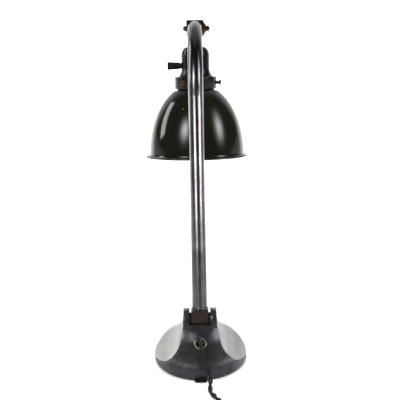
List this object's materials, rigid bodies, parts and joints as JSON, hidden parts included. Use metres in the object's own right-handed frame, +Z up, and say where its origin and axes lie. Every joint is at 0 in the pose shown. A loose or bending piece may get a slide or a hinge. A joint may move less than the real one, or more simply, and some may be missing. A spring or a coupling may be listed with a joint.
{
  "type": "adjustable desk lamp",
  "caption": "Desk lamp with a saddle-cut cast base, a tilting bent-tube arm, a swivel joint, a keyed socket and a bell-shaped metal shade on a twisted cloth cord.",
  "frame": {"origin": "centre of the base's underside, on the surface that the lamp stands on", "axes": "+Z up, +Y towards the side that the shade hangs over, -Y towards the cord, +X right seen from the back"},
  "size_m": [0.1554, 0.5404, 0.4552],
  "materials": {
    "cast_iron": "semi-gloss dark lacquer over cast iron",
    "plate_steel": "satin black",
    "felt": "matte dark felt",
    "screw_steel": "worn steel",
    "nickel": "polished nickel",
    "fibre": "matte black fibre",
    "burnished_steel": "burnished gunmetal",
    "bronze_patina": "dark bronze patina",
    "gunmetal": "blackened steel, semi-gloss",
    "porcelain": "unglazed white porcelain",
    "brass": "dull brass",
    "bakelite": "moulded black phenolic",
    "shade_enamel": "glossy dark olive stove enamel",
    "bulb_glass": "clear glass",
    "filament": "glass mount and tungsten wire",
    "cord_cloth": "black braided cotton",
    "inner_flex": "black rubber insulation",
    "tie_strap": "black strap"
  },
  "bodies": {
    "base": {"base_casting": "cast_iron", "base_plate": "plate_steel", "base_felt": "felt", "base_plate_screws": "screw_steel", "cord_bushing": "nickel", "bushing_locknut": "plate_steel", "pivot_bolt": "screw_steel", "pivot_nut": "screw_steel", "pivot_washers": "fibre", "base_flex": "inner_flex", "cord_lead": "cord_cloth", "cord_coil": "cord_cloth", "coil_tie": "tie_strap", "plug_body": "bakelite", "plug_pins": "brass"},
    "arm": {"stem_knuckle": "burnished_steel", "arm_tube": "burnished_steel", "tube_screw": "screw_steel", "arm_fork": "bronze_patina", "joint_bolt": "screw_steel", "cone_washer": "bronze_patina", "stem_flex": "inner_flex"},
    "clamp_nut": {"wing_nut": "bronze_patina"},
    "head": {"swivel_tongue": "bronze_patina", "cap_ring": "gunmetal", "nipple_nut": "plate_steel", "socket_cap": "gunmetal", "socket_insert": "porcelain", "screw_shell": "brass", "centre_contact": "brass", "terminal_screws": "brass", "shade_gallery": "gunmetal", "holder_ring": "plate_steel", "shade": "shade_enamel", "head_flex": "inner_flex"},
    "switch": {"switch_key": "bakelite"},
    "bulb": {"bulb_cap": "nickel", "bulb_glass": "bulb_glass", "bulb_filament": "filament"},
    "screw_1": {"gallery_screw_1": "brass"},
    "screw_2": {"gallery_screw_2": "brass"},
    "screw_3": {"gallery_screw_3": "brass"}
  },
  "joints": [
    {"name": "stem_tilt", "type": "hinge", "parent": "base", "child": "arm", "pos_m": [0, 0, 0.061], "axis": [-1, 0, 0], "range_deg": [-35, 30]},
    {"name": "shade_tilt", "type": "hinge", "parent": "arm", "child": "head", "pos_m": [0, 0.21689, 0.4377], "axis": [1, 0, 0], "range_deg": [-5, 70]},
    {"name": "clamp_nut_turn", "type": "hinge", "parent": "arm", "child": "clamp_nut", "pos_m": [0.019, 0.21689, 0.4377], "axis": [1, 0, 0], "range_deg": [-180, 180]},
    {"name": "switch_turn", "type": "hinge", "parent": "head", "child": "switch", "pos_m": [-0.025, 0.20265, 0.38458], "axis": [-1, 0, 0], "continuous": true},
    {"name": "bulb_turn", "type": "hinge", "parent": "head", "child": "bulb", "pos_m": [0, 0.19101, 0.34111], "axis": [0, 0.2588, 0.9659], "range_deg": [-360, 0]},
    {"name": "screw_1_turn", "type": "hinge", "parent": "head", "child": "screw_1", "pos_m": [-0.01782, 0.168, 0.36715], "axis": [-0.524, -0.8227, 0.2204], "range_deg": [-180, 180]},
    {"name": "screw_2_turn", "type": "hinge", "parent": "head", "child": "screw_2", "pos_m": [0.03399, 0.19506, 0.3599], "axis": [0.9996, -0.027, 0.0072], "range_deg": [-180, 180]},
    {"name": "screw_3_turn", "type": "hinge", "parent": "head", "child": "screw_3", "pos_m": [-0.01617, 0.22486, 0.35191], "axis": [-0.4756, 0.8497, -0.2277], "range_deg": [-180, 180]}
  ]
}
